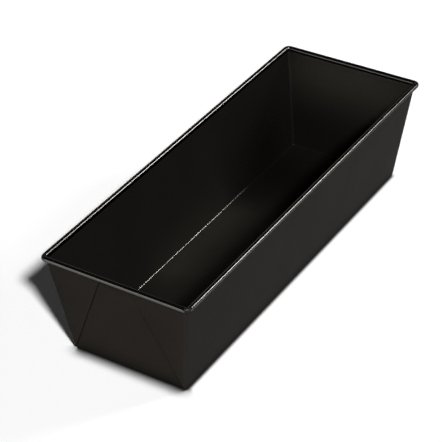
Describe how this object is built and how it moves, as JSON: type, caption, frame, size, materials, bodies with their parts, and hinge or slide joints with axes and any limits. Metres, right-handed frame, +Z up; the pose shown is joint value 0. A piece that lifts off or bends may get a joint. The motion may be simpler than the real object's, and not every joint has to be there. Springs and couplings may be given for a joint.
{
  "type": "loaf pan",
  "caption": "Long open loaf pan of folded sheet steel with flared walls, corner gussets folded flat on the ends and a rim rolled round a wire.",
  "frame": {"origin": "under the middle of the floor, on the surface that the pan stands on", "axes": "X along the pan's length, Y across its width, +Z up out of its open mouth"},
  "size_m": [0.3, 0.108, 0.075],
  "materials": {
    "coated_sheet": "satin dark brown-black non-stick coating",
    "wire": "drawn steel wire"
  },
  "bodies": {
    "root": {"pan_body": "coated_sheet", "rim_wire": "wire"}
  },
  "joints": []
}
